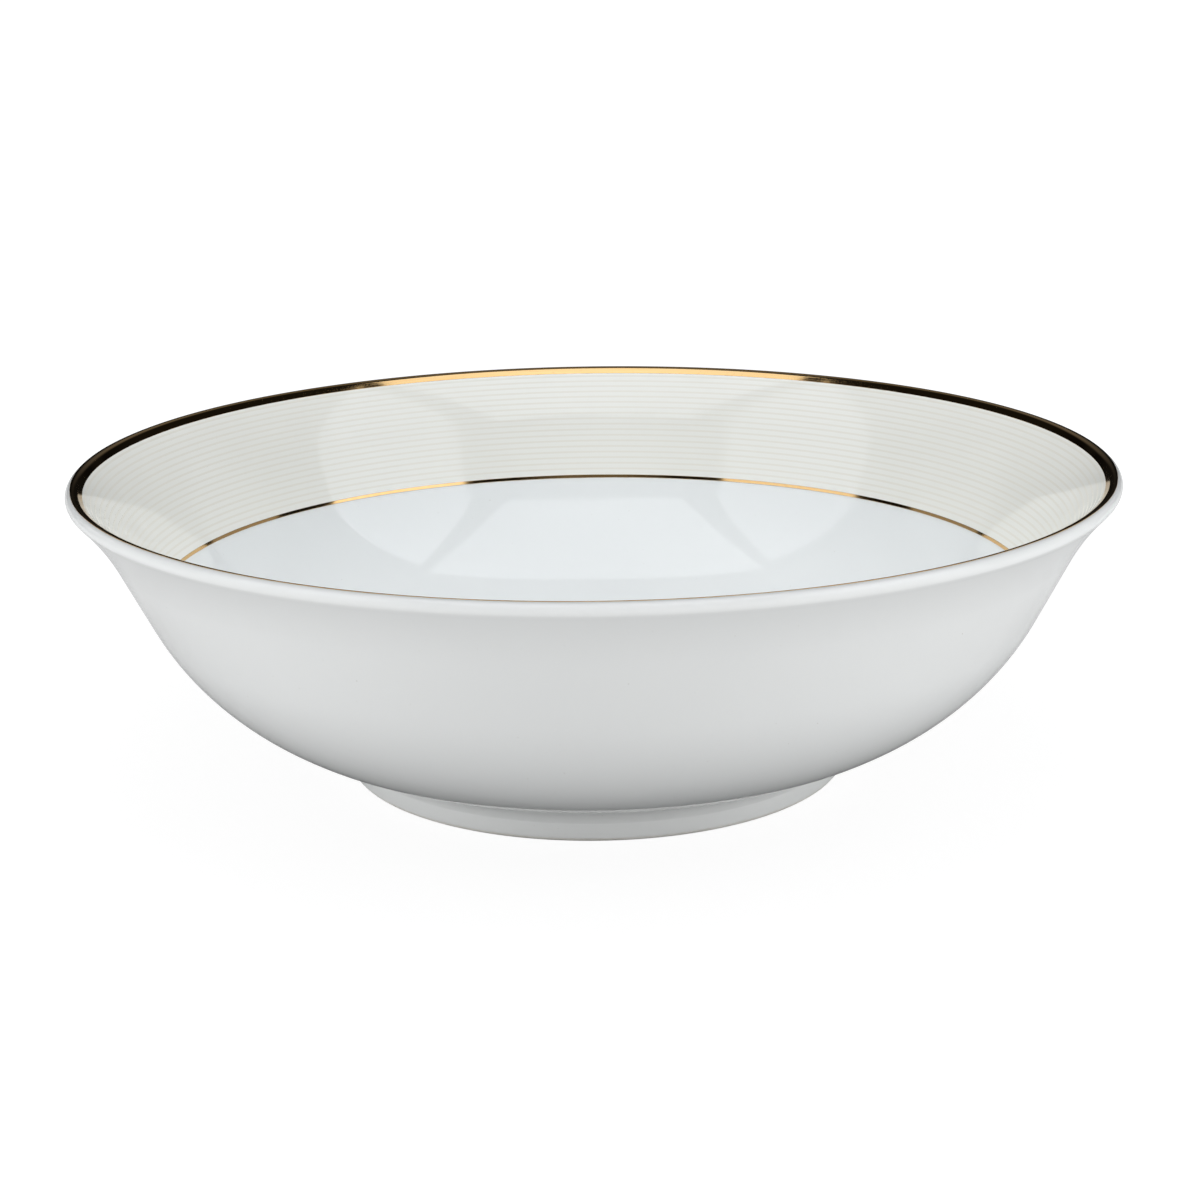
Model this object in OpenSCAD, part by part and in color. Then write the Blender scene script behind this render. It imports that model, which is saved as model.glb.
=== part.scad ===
// Round porcelain serving bowl with a printed stripe border, two gilt lines and a foot ring.
// Millimetres, +Z up. The origin is the centre of the circle on which the foot stands.
// Every piece is a solid of revolution. One outline, made of a flat floor, a belly arc, a straight
// wall, a flare arc and a round lip, is offset to the depth of each layer.

/* [Bowl] */
// Diameter across the lip
rim_d = 230; // [210:1:260]
// Height of the inside floor above the table
floor_z = 9.7; // [9.5:0.1:12]
// Thickness of the wall, glaze included
wall_t = 3.1; // [2.6:0.1:4]
// Inside radius of the belly, between the flat floor and the wall
belly_r = 56.5; // [52:0.5:60]
// Slope of the straight wall above level, in degrees
wall_angle = 63.4; // [58:0.1:68]
// Length of the straight stretch of the wall
wall_len = 15; // [12:0.5:20]
// Inside radius of the outward flare below the lip
flare_r = 56.2; // [50:0.2:65]
// Slope of the wall where it meets the lip, in degrees
lip_angle = 46.5; // [42:0.5:50]

/* [Foot] */
// How far the foot's outer wall stands outside the edge of the flat floor
foot_out = 11; // [9:0.1:13]
// Thickness of the foot ring at its base
foot_t = 4.6; // [4:0.1:5]
// Height of the crease between the foot's wall and its neck
crease_z = 4.2; // [3.5:0.1:4.8]
// How far the neck spreads before it meets the belly
neck_spread = 3.5; // [2.8:0.1:4.5]
// Width of the flat, bare edge that stands on the table
rest_w = 2.2; // [1.6:0.1:2.6]
// Height at which the glaze is wiped off the foot
wipe_z = 0.9; // [0.7:0.1:1.2]
// Radius of the round between the foot's inside wall and the recess
recess_round = 1.6; // [1:0.1:2]

/* [Glaze] */
// Thickness of the glaze on each face
glaze_t = 0.25; // [0.2:0.05:0.35]

/* [Border] */
// Thickness of the ivory ground, the stripes and the gilding
film_t = 0.12; // [0.1:0.01:0.16]
// How far up the straight wall the lower gilt line begins
line_up = 1.1; // [0.5:0.1:4]
// Width of the lower gilt line
line_w = 0.8; // [0.6:0.1:1.2]
// How far down the inside face the rim gilding reaches below the round of the lip
gild_down = 1.3; // [0.8:0.1:1.6]
// How far past the top of the lip the rim gilding reaches, in degrees
gild_past = 12; // [10:1:60]
// Width of each printed stripe
stripe_w = 0.48; // [0.4:0.02:0.6]
// Distance from one stripe to the next
stripe_pitch = 1.52; // [1.4:0.02:1.7]
// Distance from the lower gilt line to the middle of the first stripe
stripe_gap = 1.65; // [1.2:0.05:2]

/* [Hidden] */
$fn = 192;
belly_steps = 18;
flare_steps = 7;
lip_steps = 4;
round_steps = 5;
// Headings of the foot's outline, in degrees above level: the wall at the wipe line, the neck at the
// crease, and the two rounds where they leave the flat edge
wall_heading = 82;
neck_heading = 78;
edge_heading = 4;
// How far the foot's outside wall tucks in at the wipe line, and its inside wall leans in at the top
tuck = 0.1;
draft = 1.2;

porcelain = [0.93, 0.93, 0.91];
glaze_white = [0.94, 0.95, 0.95];
ivory = [0.91, 0.90, 0.84];
taupe = [0.62, 0.57, 0.48];
gold = [0.83, 0.60, 0.30];

// Points on a circle: angles run anticlockwise from the +r axis
function at(centre, radius, angle) = centre + radius * [cos(angle), sin(angle)];
function arc(centre, radius, from, to, steps) =
    [for (i = [0 : steps]) at(centre, radius, from + (to - from) * i / steps)];
function reversed(list) = [for (i = [len(list) - 1 : -1 : 0]) list[i]];
// The arc between two points that leaves the first one at the given heading
function bow(from, to, heading, steps) =
    let(chord = to - from,
        turn = 2 * (atan2(chord[1], chord[0]) - heading),
        radius = norm(chord) / (2 * sin(turn / 2)),
        centre = from + radius * [-sin(heading), cos(heading)])
    [for (i = [0 : steps]) centre + radius * [sin(heading + turn * i / steps), -cos(heading + turn * i / steps)]];

// Reach of the inside outline's curved stretches, which leaves the flat floor its radius
wall_reach = belly_r * sin(wall_angle) + wall_len * cos(wall_angle);
flare_reach = flare_r * (sin(wall_angle) - sin(lip_angle)) + wall_t / 2 * sin(lip_angle);
floor_r = rim_d / 2 - wall_t / 2 - wall_reach - flare_reach;
belly_centre = [floor_r, floor_z + belly_r];
wall_start = at(belly_centre, belly_r, wall_angle - 90);
wall_dir = [cos(wall_angle), sin(wall_angle)];
flare_centre = wall_start + wall_len * wall_dir + flare_r * [sin(wall_angle), -cos(wall_angle)];
lip_centre = at(flare_centre, flare_r - wall_t / 2, 90 + lip_angle);
// Slope of the inside face where the rim gilding begins
gild_angle = lip_angle + gild_down / flare_r * 180 / PI;

// Stretches of the wall at a depth below the inside face. A depth below zero stands proud of it.
// The flare has two: below the rim gilding, and under it.
function belly(depth, from = 0) =
    arc(belly_centre, belly_r + depth, from - 90, wall_angle - 90, belly_steps);
function flare_arc(depth, from, to, steps) = arc(flare_centre, flare_r - depth, 90 + from, 90 + to, steps);
function flare_below(depth) = flare_arc(depth, wall_angle, gild_angle, flare_steps);
function flare_gilt(depth) = flare_arc(depth, gild_angle, lip_angle, 1);
function flare(depth) = concat(flare_below(depth), flare_gilt(depth));
function on_wall(up, depth) = wall_start + up * wall_dir + depth * [wall_dir[1], -wall_dir[0]];
// A point of the border, measured along the inside face from the start of the straight wall
function on_border(along, depth) =
    along < wall_len ? on_wall(along, depth)
    : at(flare_centre, flare_r - depth, 90 + wall_angle - (along - wall_len) * 180 / (PI * flare_r));

under_z = floor_z - wall_t;

// The lip's half circle in three stretches: inside the top, outside it as far as the gilding, and beyond
gilt_end = 90 - gild_past;
function lip_arc(depth, from, to, steps) = arc(lip_centre, wall_t / 2 - depth, from, to, steps);
function lip_inside(depth) = lip_arc(depth, 90 + lip_angle, 90, lip_steps);
function lip_gilt(depth) = lip_arc(depth, 90, gilt_end, lip_steps);
function lip_outside(depth) = lip_arc(depth, gilt_end, lip_angle - 90, 2 * lip_steps);

// Foot: slopes of the belly's underside where the neck and the recess meet it
foot_r = floor_r + foot_out;
inner_foot_r = foot_r - foot_t;
inner_top = [inner_foot_r - draft, under_z - recess_round];
neck_slope = asin((foot_r + neck_spread - floor_r) / (belly_r + wall_t));
recess_slope = asin((inner_top[0] - recess_round - floor_r) / (belly_r + wall_t));
edge_mid = foot_r - foot_t / 2;
outer_edge = [edge_mid + rest_w / 2, 0];
inner_edge = [edge_mid - rest_w / 2, 0];

// Stretches of the foot at a depth below its glazed face, listed from the belly's side down
function crease(depth) = [foot_r - depth, crease_z];
function outer_wipe(depth) = [foot_r - tuck - depth, wipe_z];
function inner_wipe(depth) = [inner_foot_r + depth, wipe_z];
function neck(depth) =
    reversed(bow(crease(depth), at(belly_centre, belly_r + wall_t - depth, neck_slope - 90),
                 neck_heading, round_steps));
function foot_wall(depth) =
    reversed(bow(outer_wipe(depth), crease(depth), wall_heading, round_steps));
function recess(depth) =
    arc(belly_centre, belly_r + wall_t - depth, -90, recess_slope - 90, 1);
function recess_wall(depth) =
    concat(bow(at(belly_centre, belly_r + wall_t - depth, recess_slope - 90),
               inner_top + [depth, 0], 0, round_steps),
           [inner_wipe(depth)]);
function ring_top(depth) =
    arc(belly_centre, belly_r + wall_t - depth, recess_slope - 90, neck_slope - 90, round_steps);

// Border: where each film begins and ends along the inside face
border_start = line_up + line_w;
border_len = wall_len + flare_r * (wall_angle - gild_angle) * PI / 180 - border_start;
top_gap = stripe_w;
stripe_count = 1 + floor((border_len - stripe_gap - stripe_w / 2 - top_gap) / stripe_pitch);
first_stripe = border_start + stripe_gap;

STRIPES = [for (i = [1 : stripe_count]) str("stripe_", i < 10 ? "0" : "", i)];

module turned(outline) {
    rotate_extrude() polygon(outline);
}

// Biscuit porcelain: floor, wall and lip, under the glaze
module bowl_body() {
    color(porcelain) turned(concat(
        [[0, floor_z - glaze_t]],
        belly(glaze_t),
        flare(glaze_t),
        lip_inside(glaze_t),
        lip_gilt(glaze_t),
        lip_outside(glaze_t),
        reversed(flare(wall_t - glaze_t)),
        reversed(belly(wall_t - glaze_t, neck_slope)),
        reversed(ring_top(glaze_t)),
        reversed(recess(glaze_t)),
        [[0, under_z + glaze_t]]));
}

// Porcelain foot ring with its bare standing edge
module foot_ring() {
    color(porcelain) turned(concat(
        neck(glaze_t),
        foot_wall(glaze_t),
        reversed(bow(outer_edge, outer_wipe(glaze_t), edge_heading, round_steps)),
        bow(inner_edge, inner_wipe(glaze_t), 180 - edge_heading, round_steps),
        reversed(recess_wall(glaze_t)),
        ring_top(glaze_t)));
}

// Glaze on the inside face, from the centre of the floor to the top of the lip
module inner_glaze() {
    color(glaze_white) turned(concat(
        [[0, floor_z]],
        belly(0),
        flare(0),
        lip_inside(0),
        reversed(lip_inside(glaze_t)),
        reversed(flare(glaze_t)),
        reversed(belly(glaze_t)),
        [[0, floor_z - glaze_t]]));
}

// Outline of the outside face at a depth below it, from the top of the lip to the wipe line
function outside(depth) = concat(
    lip_gilt(depth),
    lip_outside(depth),
    reversed(flare(wall_t - depth)),
    reversed(belly(wall_t - depth, neck_slope)),
    neck(depth),
    foot_wall(depth));

// Glaze on the outside face
module outer_glaze() {
    color(glaze_white) turned(concat(outside(0), reversed(outside(glaze_t))));
}

// Glaze inside the foot, over the recess and down its wall
module recess_glaze() {
    color(glaze_white) turned(concat(
        [[0, under_z]],
        recess(0),
        recess_wall(0),
        reversed(recess_wall(glaze_t)),
        reversed(recess(glaze_t)),
        [[0, under_z + glaze_t]]));
}

// Ivory ground of the printed border, between the two gildings
module border_ground() {
    color(ivory) turned(concat(
        [on_wall(border_start, 0)],
        flare_below(0),
        reversed(flare_below(-film_t)),
        [on_wall(border_start, -film_t)]));
}

// Thin gilt line along the lower edge of the border
module lower_gilt_line() {
    color(gold) turned([
        on_wall(line_up, 0),
        on_wall(border_start, 0),
        on_wall(border_start, -film_t),
        on_wall(line_up, -film_t)]);
}

// Gilding inside and over the top of the lip
module rim_gilding() {
    color(gold) turned(concat(
        flare_gilt(0),
        lip_inside(0),
        lip_gilt(0),
        reversed(lip_gilt(-film_t)),
        reversed(lip_inside(-film_t)),
        reversed(flare_gilt(-film_t))));
}

// One stripe of enamel on the ivory ground
module stripe(index) {
    from = first_stripe + (index - 1) * stripe_pitch - stripe_w / 2;
    to = from + stripe_w;
    color(taupe) turned([
        on_border(from, -film_t),
        on_border(to, -film_t),
        on_border(to, -2 * film_t),
        on_border(from, -2 * film_t)]);
}

bowl_body();
foot_ring();
inner_glaze();
outer_glaze();
recess_glaze();
border_ground();
lower_gilt_line();
rim_gilding();
for (i = [1 : stripe_count])
    stripe(i);
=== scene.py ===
# Looks of a porcelain serving bowl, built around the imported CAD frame.
# Every piece is turned on the bowl's axis from the cross-section of the CAD node that it replaces:
# the section is read from the frame, its arcs are made smooth, its sharp edges are softened, and it
# is turned with fine steps. Distances are in metres.
import bpy
import math
from mathutils import Matrix, Vector


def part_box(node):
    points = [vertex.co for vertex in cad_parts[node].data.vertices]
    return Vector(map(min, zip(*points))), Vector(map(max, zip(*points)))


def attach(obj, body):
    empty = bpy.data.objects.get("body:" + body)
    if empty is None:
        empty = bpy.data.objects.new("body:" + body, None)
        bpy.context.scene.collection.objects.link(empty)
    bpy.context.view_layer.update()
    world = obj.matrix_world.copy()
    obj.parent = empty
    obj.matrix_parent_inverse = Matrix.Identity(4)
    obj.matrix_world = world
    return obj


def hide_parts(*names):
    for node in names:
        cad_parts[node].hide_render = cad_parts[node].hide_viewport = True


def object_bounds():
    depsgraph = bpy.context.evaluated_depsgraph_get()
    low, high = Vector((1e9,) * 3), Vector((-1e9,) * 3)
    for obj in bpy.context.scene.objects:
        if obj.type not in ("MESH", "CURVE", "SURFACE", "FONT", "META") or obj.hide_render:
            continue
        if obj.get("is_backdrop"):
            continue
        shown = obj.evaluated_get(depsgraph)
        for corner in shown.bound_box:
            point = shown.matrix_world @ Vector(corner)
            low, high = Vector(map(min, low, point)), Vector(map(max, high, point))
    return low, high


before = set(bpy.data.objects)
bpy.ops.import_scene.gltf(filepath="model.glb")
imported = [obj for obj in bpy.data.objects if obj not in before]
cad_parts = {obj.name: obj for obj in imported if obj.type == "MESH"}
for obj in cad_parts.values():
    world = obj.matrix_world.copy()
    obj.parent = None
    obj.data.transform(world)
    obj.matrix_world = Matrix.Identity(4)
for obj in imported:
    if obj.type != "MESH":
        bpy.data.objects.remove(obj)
cad_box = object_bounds()

MM = 0.001
STRIPES = sorted(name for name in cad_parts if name.startswith("stripe_"))


# ---------------------------------------------------------------- sections

GRID = 1e6           # points are matched to a grid this many to the metre
ON_AXIS = 1e-7       # a radius below this is on the axis


def read_section(node):
    """The cross-section of a CAD node at azimuth zero, as a closed list of (radius, height)."""
    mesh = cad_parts[node].data
    spot = {}
    for vertex in mesh.vertices:
        if abs(vertex.co.y) < 0.5 / GRID and vertex.co.x > -0.5 / GRID:
            spot[vertex.index] = (round(vertex.co.x * GRID), round(vertex.co.z * GRID))
    links = {}
    for edge in mesh.edges:
        ends = [spot.get(index) for index in edge.vertices]
        if None in ends or ends[0] == ends[1]:
            continue
        for here, there in (ends, ends[::-1]):
            links.setdefault(here, set()).add(there)
    open_ends = sorted(point for point in links if len(links[point]) == 1)
    here = open_ends[0] if open_ends else min(links)
    chain, before = [here], None
    while True:
        onward = sorted(point for point in links[here] if point != before)
        if not onward or onward[0] == chain[0] or len(chain) == len(links):
            break
        before, here = here, onward[0]
        chain.append(here)
    points = [(x / GRID, z / GRID) for x, z in chain]
    if open_ends:
        points = [(0.0, points[0][1])] + points + [(0.0, points[-1][1])]
    area = sum(a[0] * b[1] - b[0] * a[1] for a, b in zip(points, points[1:] + points[:1]))
    return points if area > 0 else points[::-1]


def heading(a, b):
    """The direction from one point to another, as an angle."""
    return math.atan2(b[1] - a[1], b[0] - a[0])


def wrapped(angle):
    """The same turn, between minus and plus half a circle."""
    return (angle + math.pi) % (2 * math.pi) - math.pi


def pointing(angle):
    return Vector((math.cos(angle), math.sin(angle)))


CORNER = math.radians(25)        # a turn above this is an edge
SOFT_CORNER = math.radians(15)   # so is one above this that stands out from its neighbours
STANDS_OUT = 1.6                 # times as sharp as the turns beside it
STRAIGHT = 2.2                   # a side this many times as long as those beside it is straight
CURVE_STEP = math.radians(1.5)   # how finely a round stretch is divided
EDGE_RADIUS = 0.05 * MM          # how far from its corner an edge begins to be round
EDGE_SHARE = 0.35                # and at most this share of the sides that meet there


def smooth_section(points):
    """Turns the chords of round stretches back into curves, and softens the edges."""
    count = len(points)
    chord = [heading(points[i], points[(i + 1) % count]) for i in range(count)]
    length = [math.dist(points[i], points[(i + 1) % count]) for i in range(count)]
    turn = [wrapped(chord[i] - chord[i - 1]) for i in range(count)]
    longer_beside = [max(length[i - 1], length[(i + 1) % count]) for i in range(count)]
    straight = [length[i] > STRAIGHT * longer_beside[i] for i in range(count)]
    on_axis = [radius < ON_AXIS for radius, _ in points]

    def is_corner(i):
        beside = max(abs(turn[i - 1]), abs(turn[(i + 1) % count]))
        stands_out = abs(turn[i]) > SOFT_CORNER and abs(turn[i]) > STANDS_OUT * beside
        return on_axis[i] or abs(turn[i]) > CORNER or stands_out

    corner = [is_corner(i) for i in range(count)]

    def tangent(i):
        """Direction of the curve at a point that is no corner."""
        if straight[i - 1]:
            return chord[i - 1]
        if straight[i]:
            return chord[i]
        share = length[i - 1] / (length[i - 1] + length[i])
        return chord[i - 1] + turn[i] * share

    made = []
    for i in range(count):
        after = (i + 1) % count
        here, there = points[i], points[after]
        lean_in = 0.0 if corner[i] else wrapped(tangent(i) - chord[i])
        lean_out = 0.0 if corner[after] else wrapped(tangent(after) - chord[i])
        if straight[i]:
            lean_in = lean_out = 0.0
        elif corner[i] and not corner[after]:
            lean_in = -lean_out
        elif corner[after] and not corner[i]:
            lean_out = -lean_in
        steps = max(1, math.ceil(abs(lean_out - lean_in) / CURVE_STEP))
        start = Vector(here)
        leave = pointing(chord[i] + lean_in) * length[i]
        reach = pointing(chord[i] + lean_out) * length[i]
        end = Vector(there)
        if corner[i] and not on_axis[i]:
            soft = min(EDGE_RADIUS, EDGE_SHARE * length[i], EDGE_SHARE * length[i - 1])
            toward_last = (Vector(points[i - 1]) - start).normalized() * soft
            toward_next = (end - start).normalized() * soft
            for t in (0.0, 0.33, 0.67, 1.0):
                made.append(start + toward_last * (1 - t) ** 2 + toward_next * t ** 2)
        else:
            made.append(start)
        for step in range(1, steps):
            t = step / steps
            made.append(
                start * (2 * t ** 3 - 3 * t ** 2 + 1)
                + leave * (t ** 3 - 2 * t ** 2 + t)
                + end * (3 * t ** 2 - 2 * t ** 3)
                + reach * (t ** 3 - t ** 2)
            )
    return made


def pressed(points, keep):
    """The section with its height above the face it lies on cut down to a share."""
    spots = [Vector(point) for point in points]
    ends = list(zip(spots, spots[1:] + spots[:1]))
    start, end = max(ends, key=lambda pair: (pair[1] - pair[0]).length)
    along = (end - start).normalized()
    inward = Vector((-along.y, along.x))
    if inward.x > 0:
        inward = -inward
    face = min(spot.dot(inward) for spot in spots)
    return [tuple(spot - inward * (spot.dot(inward) - face) * (1 - keep)) for spot in spots]


# ---------------------------------------------------------------- turning

SWELL_WAVES = (3, 7, 16, 41)      # waves round the bowl in a layer's unevenness
EDGE_WAVES = (2, 5, 11, 23)       # and in the gilding's outer edge
LIP_RADIUS = 1.55 * MM
LIP_START = math.radians(136.5)   # where the round of the lip begins, inside
_, glaze_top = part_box("outer_glaze")
LIP_CENTRE = Vector((cad_box[1].x - LIP_RADIUS, glaze_top.z - LIP_RADIUS))


def waver(angle, seed, waves):
    """A slow, repeatable unevenness round the bowl, between about -1 and 1."""
    total = 0.0
    for k, wave in enumerate(waves):
        total += math.sin(wave * angle + seed * (1.7 + 2.3 * k)) / len(waves)
    return total


def gilding_reach(angle):
    """How much farther round the lip the gilding reaches than in the CAD, as a share."""
    front = max(0.0, -math.sin(angle))
    return 0.10 - 0.35 * front ** 2 + 0.05 * waver(angle, 4.0, EDGE_WAVES)


def stretched_round_lip(point, angle):
    """Moves a point of the gilding's section along the round of the lip."""
    arm = point - LIP_CENTRE
    turn = LIP_START - math.atan2(arm.y, arm.x)
    if turn <= 0 or arm.length > 2 * LIP_RADIUS:
        return point
    turn = LIP_START - turn * (1 + gilding_reach(angle))
    return LIP_CENTRE + pointing(turn) * arm.length


def turned(name, nodes, material, steps=384, uneven=0.0, seed=1.0, keep=1.0, reshape=None):
    """Turns the nodes' sections round the axis as one piece that stands for those nodes. A section
    swells and shrinks by the share `uneven`, and is pressed to the share `keep` of its height."""
    vertices, faces = [], []
    for number, node in enumerate(nodes):
        outline = read_section(node)
        section = smooth_section(pressed(outline, keep) if keep < 1 else outline)
        middle = sum(section, Vector((0, 0))) / len(section)
        count = len(section)
        ring = {}
        for j, point in enumerate(section):
            if point.x < ON_AXIS:
                ring[j] = [len(vertices)] * steps
                vertices.append((0.0, 0.0, point.y))
                continue
            ring[j] = list(range(len(vertices), len(vertices) + steps))
            for k in range(steps):
                angle = 2 * math.pi * k / steps
                swell = 1.0 + uneven * waver(angle, seed + number, SWELL_WAVES)
                spot = middle + (point - middle) * swell
                if reshape:
                    spot = reshape(spot, angle)
                vertices.append((spot.x * math.cos(angle), spot.x * math.sin(angle), spot.y))
        for j in range(count):
            a, b = ring[j], ring[(j + 1) % count]
            if a[0] == a[1] and b[0] == b[1]:
                continue
            for k in range(steps):
                m = (k + 1) % steps
                corners = [a[k], a[m], b[m], b[k]]
                faces.append([c for n, c in enumerate(corners) if c != corners[n - 1]])
    mesh = bpy.data.meshes.new(name)
    mesh.from_pydata(vertices, [], faces)
    mesh.polygons.foreach_set("use_smooth", [True] * len(mesh.polygons))
    mesh.materials.append(material)
    piece = bpy.data.objects.new(name, mesh)
    bpy.context.scene.collection.objects.link(piece)
    shade = piece.modifiers.new("even_shading", "WEIGHTED_NORMAL")
    shade.weight = 60
    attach(piece, "root")
    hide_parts(*nodes)
    return piece


# ---------------------------------------------------------------- materials

class Nodes:
    """A short way to write a material's node tree."""

    def __init__(self, name):
        self.material = bpy.data.materials.new(name)
        self.material.use_nodes = True
        self.tree = self.material.node_tree
        self.shader = self.tree.nodes["Principled BSDF"]
        self.place = self.add("ShaderNodeTexCoord").outputs["Object"]

    def add(self, kind, **settings):
        node = self.tree.nodes.new(kind)
        for key, value in settings.items():
            setattr(node, key, value)
        return node

    def feed(self, source, socket):
        self.tree.links.new(source, socket)

    def set(self, **sockets):
        for key, value in sockets.items():
            self.shader.inputs[key.replace("_", " ")].default_value = value

    def noise(self, scale, detail=3.0, roughness=0.5, vector=None):
        node = self.add("ShaderNodeTexNoise")
        node.inputs["Scale"].default_value = scale
        node.inputs["Detail"].default_value = detail
        node.inputs["Roughness"].default_value = roughness
        self.feed(vector or self.place, node.inputs["Vector"])
        return node.outputs["Fac"]

    def ramp(self, source, low, high, dark, light):
        node = self.add("ShaderNodeMapRange", clamp=True)
        node.inputs["From Min"].default_value = low
        node.inputs["From Max"].default_value = high
        node.inputs["To Min"].default_value = dark
        node.inputs["To Max"].default_value = light
        self.feed(source, node.inputs["Value"])
        return node.outputs["Result"]

    def blend(self, factor, first, second):
        node = self.add("ShaderNodeMix", data_type="RGBA")
        for socket, value in ((node.inputs[6], first), (node.inputs[7], second)):
            if isinstance(value, tuple):
                socket.default_value = (*value, 1.0)
            else:
                self.feed(value, socket)
        self.feed(factor, node.inputs[0])
        return node.outputs[2]

    def bump(self, height, distance, strength=1.0, under=None):
        node = self.add("ShaderNodeBump")
        node.inputs["Strength"].default_value = strength
        node.inputs["Distance"].default_value = distance
        self.feed(height, node.inputs["Height"])
        if under:
            self.feed(under, node.inputs["Normal"])
        return node.outputs["Normal"]

    def round_the_bowl(self, stretch):
        """Coordinates in which what is drawn runs round the bowl in long streaks."""
        apart = self.add("ShaderNodeSeparateXYZ")
        self.feed(self.place, apart.inputs[0])
        angle = self.add("ShaderNodeMath", operation="ARCTAN2")
        self.feed(apart.outputs["Y"], angle.inputs[0])
        self.feed(apart.outputs["X"], angle.inputs[1])
        slow = self.add("ShaderNodeMath", operation="MULTIPLY")
        slow.inputs[1].default_value = stretch
        self.feed(angle.outputs[0], slow.inputs[0])
        radius = self.add("ShaderNodeVectorMath", operation="LENGTH")
        flat = self.add("ShaderNodeCombineXYZ")
        self.feed(apart.outputs["X"], flat.inputs["X"])
        self.feed(apart.outputs["Y"], flat.inputs["Y"])
        self.feed(flat.outputs[0], radius.inputs[0])
        joined = self.add("ShaderNodeCombineXYZ")
        self.feed(slow.outputs[0], joined.inputs["X"])
        self.feed(radius.outputs["Value"], joined.inputs["Y"])
        self.feed(apart.outputs["Z"], joined.inputs["Z"])
        return joined.outputs[0]


def glaze(name, colour, pale, ripple=1.0):
    """Clear gloss over white porcelain, with faint clouds, specks and orange peel."""
    n = Nodes(name)
    clouds = n.ramp(n.noise(14.0, 4.0), 0.35, 0.65, 0.0, 1.0)
    tint = n.blend(clouds, colour, pale)
    specks = n.ramp(n.noise(1400.0, 1.0), 0.80, 0.84, 0.0, 0.5)
    n.feed(n.blend(specks, tint, (0.45, 0.42, 0.36)), n.shader.inputs["Base Color"])
    n.feed(n.ramp(n.noise(45.0, 3.0), 0.3, 0.7, 0.012, 0.03), n.shader.inputs["Roughness"])
    slow = n.bump(n.noise(38.0, 2.0), 0.03 * MM * ripple, 0.6)
    n.feed(n.bump(n.noise(420.0, 2.0), 0.004 * MM, 0.6, slow), n.shader.inputs["Normal"])
    n.set(IOR=1.58)
    return n.material


def biscuit(name, colour, dusty):
    """Unglazed porcelain: matt, finely grained and a little stained."""
    n = Nodes(name)
    grain = n.noise(2600.0, 3.0, 0.7)
    stain = n.ramp(n.noise(60.0, 5.0, 0.6), 0.45, 0.75, 0.0, 1.0)
    n.feed(n.blend(stain, colour, dusty), n.shader.inputs["Base Color"])
    n.feed(n.ramp(grain, 0.3, 0.7, 0.62, 0.82), n.shader.inputs["Roughness"])
    n.feed(n.bump(grain, 0.03 * MM, 0.8), n.shader.inputs["Normal"])
    n.set(IOR=1.45)
    return n.material


def border_ground():
    """Ivory ground of the printed border."""
    n = Nodes("ivory_ground")
    print_grain = n.noise(3200.0, 2.0, 0.6)
    clouds = n.ramp(n.noise(30.0, 4.0), 0.35, 0.65, 0.0, 1.0)
    tint = n.blend(clouds, (0.868, 0.870, 0.824), (0.884, 0.886, 0.842))
    dots = n.ramp(print_grain, 0.55, 0.75, 0.0, 0.35)
    n.feed(n.blend(dots, tint, (0.83, 0.83, 0.77)), n.shader.inputs["Base Color"])
    n.feed(n.ramp(print_grain, 0.3, 0.7, 0.02, 0.04), n.shader.inputs["Roughness"])
    slow = n.bump(n.noise(38.0, 2.0), 0.025 * MM, 0.6)
    n.feed(n.bump(print_grain, 0.003 * MM, 0.6, slow), n.shader.inputs["Normal"])
    n.set(IOR=1.6)
    return n.material


def stripe_enamel():
    """Fine taupe lines of enamel, duller than the ground."""
    n = Nodes("taupe_enamel")
    streaks = n.noise(1.0, 4.0, 0.6, n.round_the_bowl(6.0))
    grain = n.noise(3000.0, 2.0, 0.6)
    thin = n.ramp(streaks, 0.35, 0.65, 0.0, 0.5)
    tint = n.blend(thin, (0.822, 0.808, 0.740), (0.842, 0.830, 0.765))
    n.feed(tint, n.shader.inputs["Base Color"])
    n.feed(n.ramp(grain, 0.3, 0.7, 0.16, 0.26), n.shader.inputs["Roughness"])
    n.feed(n.bump(grain, 0.01 * MM, 0.7), n.shader.inputs["Normal"])
    n.set(IOR=1.55)
    return n.material


def gilding(name):
    """Burnished fired gold, brushed on round the bowl, thinner and duller in places."""
    n = Nodes(name)
    brushed = n.add("ShaderNodeVectorMath", operation="MULTIPLY")
    brushed.inputs[1].default_value = (9.0, 5200.0, 5200.0)
    n.feed(n.round_the_bowl(1.0), brushed.inputs[0])
    strokes = n.noise(1.0, 3.0, 0.6, brushed.outputs[0])
    worn = n.ramp(n.noise(700.0, 4.0, 0.7), 0.58, 0.74, 0.0, 0.6)
    rich = n.blend(n.ramp(strokes, 0.3, 0.7, 0.0, 1.0), (0.90, 0.57, 0.25), (0.94, 0.65, 0.32))
    n.feed(n.blend(worn, rich, (0.80, 0.50, 0.24)), n.shader.inputs["Base Color"])
    n.feed(n.ramp(strokes, 0.3, 0.7, 0.05, 0.11), n.shader.inputs["Roughness"])
    n.feed(n.bump(strokes, 0.002 * MM, 0.6), n.shader.inputs["Normal"])
    n.set(Metallic=1.0)
    return n.material


# ---------------------------------------------------------------- pieces

inner_white = glaze("inner_glaze_white", (0.836, 0.862, 0.866), (0.849, 0.874, 0.876), 0.7)
outer_white = glaze("outer_glaze_white", (0.840, 0.853, 0.847), (0.855, 0.867, 0.860))
recess_white = glaze("recess_glaze_white", (0.830, 0.838, 0.830), (0.850, 0.856, 0.846), 1.4)

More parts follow.
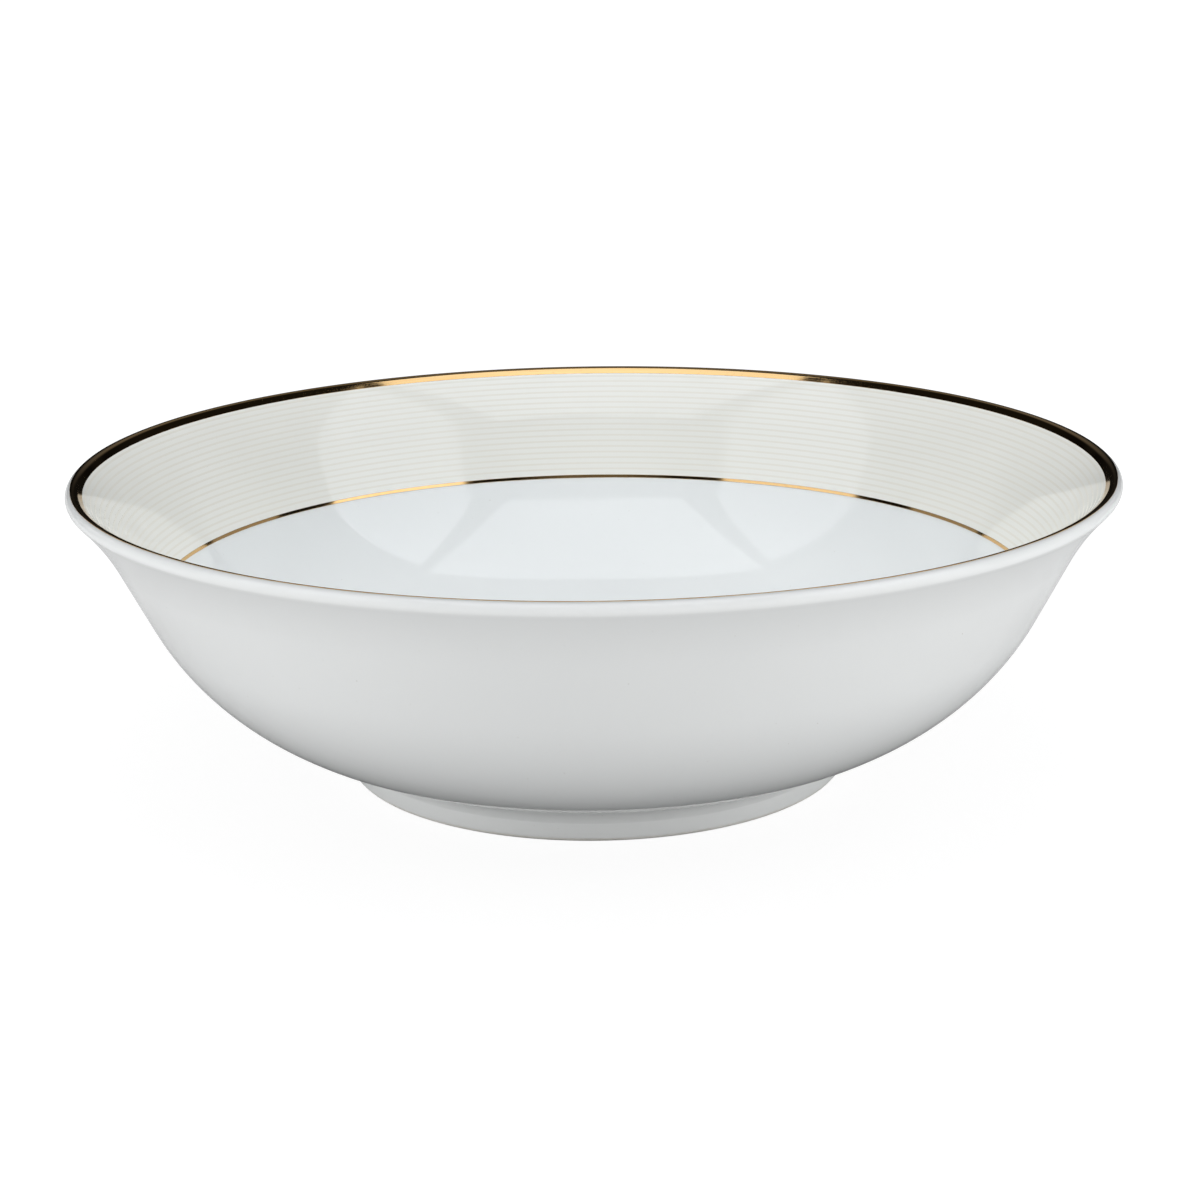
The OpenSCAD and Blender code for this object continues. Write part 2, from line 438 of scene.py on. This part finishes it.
PORCELAIN = (0.80, 0.79, 0.75)
body_biscuit = biscuit("biscuit", PORCELAIN, (0.74, 0.72, 0.66))
foot_biscuit = biscuit("bare_foot", PORCELAIN, (0.72, 0.70, 0.65))

turned("biscuit_body", ["bowl_body"], body_biscuit, 192)
outside_pieces = [
    turned("biscuit_foot", ["foot_ring"], foot_biscuit),
    turned("glaze_outside", ["outer_glaze"], outer_white, 352),
    turned("glaze_recess", ["recess_glaze"], recess_white),
]
inside_pieces = [
    turned("glaze_inside", ["inner_glaze"], inner_white),
    turned("ground_of_border", ["border_ground"], border_ground()),
    turned("gilt_line_of_border", ["lower_gilt_line"], gilding("line_gold"),
           uneven=0.06, seed=2.0),
    turned("gilding_of_lip", ["rim_gilding"], gilding("lip_gold"),
           seed=5.0, reshape=stretched_round_lip),
]
enamel = stripe_enamel()
for index, stripe in enumerate(STRIPES):
    inside_pieces.append(
        turned("enamel_" + stripe, [stripe], enamel,
               uneven=0.05, seed=index * 1.3, keep=0.1))


# ---------------------------------------------------------------- studio

FLOOR_REACH = 4.0
FLOOR_SIDES = 96
FLOOR_FELT = (0.40, 0.40, 0.40)   # the floor's shade for all light but what the camera sees
FLOOR_SEEN = (0.12, 0.12, 0.12)   # its shade for the camera, under its own light
# Painted shade: the floor's own light for the camera is lower by the bowl, which darkens it round the
# foot together with its cast shadow.
FLOOR_LIFT = (0.94, 1.05)         # its own light for the camera, by the bowl and far from it
# Painted shadow: the floor's own light for the bowl is none near the foot and rises outward, standing
# in for the bowl's shadow on the floor.
FLOOR_GLOW = 0.42                 # its own light for the bowl, away from the foot
LIFT_FROM, LIFT_TO = 0.10, 0.30   # radii between which each of those two rises
GLOW_FROM, GLOW_TO = 0.06, 0.16
BACKDROP = 1.4                    # the white that the camera sees behind the floor
ROOM = 0.15                       # the room's light overhead, as the bowl sees it
ROOM_LOW = 0.05                   # the share of it that is left near the floor
ROOM_SIDE = 0.01                  # its light at the left and the right
BOWL_MIDDLE = Vector((0, 0, 0.05))
COOL = (0.975, 1.0, 1.035)


def cleared_tree(owner):
    """A material's or world's node tree, emptied, with short ways to add nodes and to link them."""
    owner.use_nodes = True
    tree = owner.node_tree
    tree.nodes.clear()
    return tree.nodes.new, tree.links.new


def rising(add, from_min, from_max, to_min, to_max):
    """A node that turns one range of a value into another, and stays within it."""
    node = add("ShaderNodeMapRange")
    for socket, value in (("From Min", from_min), ("From Max", from_max),
                          ("To Min", to_min), ("To Max", to_max)):
        node.inputs[socket].default_value = value
    return node


def studio_floor():
    """A wide pale floor. The camera sees it as nearly white, with a faint shadow by the foot: partly
    cast, partly painted shade where its own light is lower near the bowl. For the bowl it glows only
    away from the foot, a painted shadow under the bowl.
    """
    mesh = bpy.data.meshes.new("floor")
    angles = [2 * math.pi * k / FLOOR_SIDES for k in range(FLOOR_SIDES)]
    ring = [(FLOOR_REACH * math.cos(a), FLOOR_REACH * math.sin(a), 0) for a in angles]
    mesh.from_pydata(ring, [], [list(range(FLOOR_SIDES))])
    floor = bpy.data.objects.new("floor", mesh)
    bpy.context.scene.collection.objects.link(floor)
    material = bpy.data.materials.new("pale_floor")
    add, link = cleared_tree(material)
    place = add("ShaderNodeTexCoord")
    from_middle = add("ShaderNodeVectorMath")
    from_middle.operation = "LENGTH"
    link(place.outputs["Object"], from_middle.inputs[0])

    def lit_floor(colour, ramp):
        """Diffuse floor with light of its own, whose strength follows the distance from the axis."""
        shade = add("ShaderNodeBsdfDiffuse")
        shade.inputs["Color"].default_value = (*colour, 1)
        link(from_middle.outputs["Value"], ramp.inputs["Value"])
        light = add("ShaderNodeEmission")
        link(ramp.outputs["Result"], light.inputs["Strength"])
        both = add("ShaderNodeAddShader")
        link(shade.outputs[0], both.inputs[0])
        link(light.outputs[0], both.inputs[1])
        return both.outputs[0]

    # Painted shade: for the camera the floor's own light is lower near the bowl, a soft darkening
    # round the foot.
    seen = lit_floor(FLOOR_SEEN, rising(add, LIFT_FROM, LIFT_TO, *FLOOR_LIFT))
    # Painted shadow: the floor lights the bowl only away from the foot, where the bowl's own shadow
    # would darken it.
    felt = lit_floor(FLOOR_FELT, rising(add, GLOW_FROM, GLOW_TO, 0.0, FLOOR_GLOW))
    path = add("ShaderNodeLightPath")
    mix = add("ShaderNodeMixShader")
    out = add("ShaderNodeOutputMaterial")
    link(path.outputs["Is Camera Ray"], mix.inputs[0])
    link(felt, mix.inputs[1])
    link(seen, mix.inputs[2])
    link(mix.outputs[0], out.inputs["Surface"])
    mesh.materials.append(material)
    floor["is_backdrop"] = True


def studio_world():
    """White behind the bowl, and a dark room for all other light: darker low down and at the sides."""
    world = bpy.data.worlds.new("studio")
    bpy.context.scene.world = world
    add, link = cleared_tree(world)
    apart = add("ShaderNodeSeparateXYZ")
    link(add("ShaderNodeTexCoord").outputs["Generated"], apart.inputs[0])
    higher = rising(add, 0.20, 0.45, ROOM_LOW, 1.0)
    link(apart.outputs["Z"], higher.inputs["Value"])
    sideways = add("ShaderNodeMath")
    sideways.operation = "ABSOLUTE"
    link(apart.outputs["X"], sideways.inputs[0])
    middle = rising(add, 0.12, 0.34, ROOM, ROOM_SIDE)
    link(sideways.outputs[0], middle.inputs["Value"])
    room = add("ShaderNodeMath")
    room.operation = "MULTIPLY"
    link(higher.outputs["Result"], room.inputs[0])
    link(middle.outputs["Result"], room.inputs[1])
    dim = add("ShaderNodeBackground")
    link(room.outputs[0], dim.inputs["Strength"])
    white = add("ShaderNodeBackground")
    white.inputs["Strength"].default_value = BACKDROP
    path = add("ShaderNodeLightPath")
    mix = add("ShaderNodeMixShader")
    out = add("ShaderNodeOutputWorld")
    link(path.outputs["Is Camera Ray"], mix.inputs[0])
    link(dim.outputs[0], mix.inputs[1])
    link(white.outputs[0], mix.inputs[2])
    link(mix.outputs[0], out.inputs["Surface"])


def toward(azimuth, elevation):
    """A direction from the bowl, in degrees. Azimuth 0 is the camera's side, and 90 is +X."""
    a, e = math.radians(azimuth), math.radians(elevation)
    return Vector((math.sin(a) * math.cos(e), -math.cos(a) * math.cos(e), math.sin(e)))


def panel(name, azimuth, elevation, distance, width, height, radiance, tint=(1, 1, 1)):
    """A soft panel that faces the bowl. Its power follows from how bright its surface is."""
    lamp = bpy.data.lights.new(name, "AREA")
    lamp.shape = "RECTANGLE"
    lamp.size, lamp.size_y = width, height
    lamp.energy = radiance * math.pi * width * height
    lamp.color = tint
    thing = bpy.data.objects.new(name, lamp)
    thing.location = BOWL_MIDDLE + toward(azimuth, elevation) * distance
    thing.rotation_mode = "QUATERNION"
    thing.rotation_quaternion = toward(azimuth, elevation).to_track_quat("Z", "Y")
    thing.visible_camera = False
    bpy.context.scene.collection.objects.link(thing)
    return thing


def fill(name, lit, *place_size_and_radiance):
    """A panel that lights only some pieces, and that their gloss doesn't mirror."""
    thing = panel(name, *place_size_and_radiance)
    thing.visible_glossy = False
    thing.light_linking.receiver_collection = lit


def softbox(name, azimuth, elevation, corners, radiance, tint):
    """A soft light of any outline, one metre from the bowl: its corners are (across, up) there."""
    outward = toward(azimuth, elevation)
    across = Vector((0, 0, 1)).cross(outward).normalized()
    upward = outward.cross(across)
    middle = BOWL_MIDDLE + outward
    spots = [middle + across * x + upward * y for x, y in corners]
    mesh = bpy.data.meshes.new(name)
    mesh.from_pydata(spots, [], [list(range(len(spots)))])
    box = bpy.data.objects.new(name, mesh)
    bpy.context.scene.collection.objects.link(box)
    material = bpy.data.materials.new(name)
    add, link = cleared_tree(material)
    shine = add("ShaderNodeEmission")
    shine.inputs["Color"].default_value = (*tint, 1)
    shine.inputs["Strength"].default_value = radiance
    out = add("ShaderNodeOutputMaterial")
    link(shine.outputs[0], out.inputs["Surface"])
    mesh.materials.append(material)
    box.visible_camera = False
    box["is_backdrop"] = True


def lit_together(name, pieces):
    """The pieces that a fill lights."""
    group = bpy.data.collections.new(name)
    for piece in pieces:
        group.objects.link(piece)
    return group


OUTSIDE = lit_together("outside", outside_pieces)
INSIDE = lit_together("inside", inside_pieces)

studio_floor()
studio_world()
overhead = panel("overhead", 0, 90, 1.0, 0.96, 0.97, 1.12, tint=COOL)
overhead.location.y = -0.295
SOFTBOX = [
    (0.31, -0.40), (0.31, 0.44), (-0.14, 0.22),
    (-0.30, 0.10), (-0.37, -0.05), (-0.37, -0.40),
]
softbox("right_softbox", 69, 42, SOFTBOX, 1.28, COOL)
softbox("left_softbox", -69, 42, [(-x, y) for x, y in SOFTBOX], 0.97, COOL)
panel("left_sheet", -122, 18, 1.1, 0.50, 0.40, 0.28)
panel("right_sheet", 122, 18, 1.1, 0.50, 0.40, 0.28)
fill("top_fill", INSIDE, 0, 90, 1.5, 1.9, 1.9, 0.95)
fill("left_fill", INSIDE, -62, 24, 1.4, 1.0, 0.5, 7.0)
fill("right_fill", INSIDE, 62, 24, 1.4, 1.0, 0.5, 4.2)
fill("back_fill", INSIDE, 180, 45, 1.4, 1.2, 0.6, 2.1)
LOW_FILLS = {-150: 3.0, -90: 6.4, -35: 2.9, 35: 3.1, 90: 6.2, 150: 3.0}
for azimuth, radiance in LOW_FILLS.items():
    fill("low_fill_%d" % azimuth, OUTSIDE, azimuth, 4, 1.4, 1.2, 0.36, radiance)
HIGH_FILLS = {-60: 1.5, 0: 1.4, 60: 0.3, 180: 1.5}
for azimuth, radiance in HIGH_FILLS.items():
    fill("high_fill_%d" % azimuth, OUTSIDE, azimuth, 28, 1.4, 1.0, 0.50, radiance)


# ---------------------------------------------------------------- camera

def studio_camera():
    """Looks at a point on the axis near mid-height, tilted a little about the line of sight."""
    low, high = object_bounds()
    aim = Vector((1.02 * MM, 0, (low.z + high.z) / 2 + 1.83 * MM))
    elevation, roll, distance = math.radians(16.033), math.radians(-0.709), 0.5424
    back = Vector((0, -math.cos(elevation), math.sin(elevation)))
    up = Vector((0, math.sin(elevation), math.cos(elevation)))
    right = Vector((1, 0, 0))
    across = math.cos(roll) * right + math.sin(roll) * up
    upright = math.cos(roll) * up - math.sin(roll) * right
    camera = bpy.data.cameras.new("camera")
    camera.sensor_width = 36
    camera.lens = 72.108
    camera.clip_start, camera.clip_end = 0.01, 20
    thing = bpy.data.objects.new("camera", camera)
    turn = Matrix((across, upright, back)).transposed()
    thing.matrix_world = Matrix.Translation(aim + back * distance) @ turn.to_4x4()
    bpy.context.scene.collection.objects.link(thing)
    bpy.context.scene.camera = thing


studio_camera()
bpy.context.scene.view_settings.view_transform = "Standard"
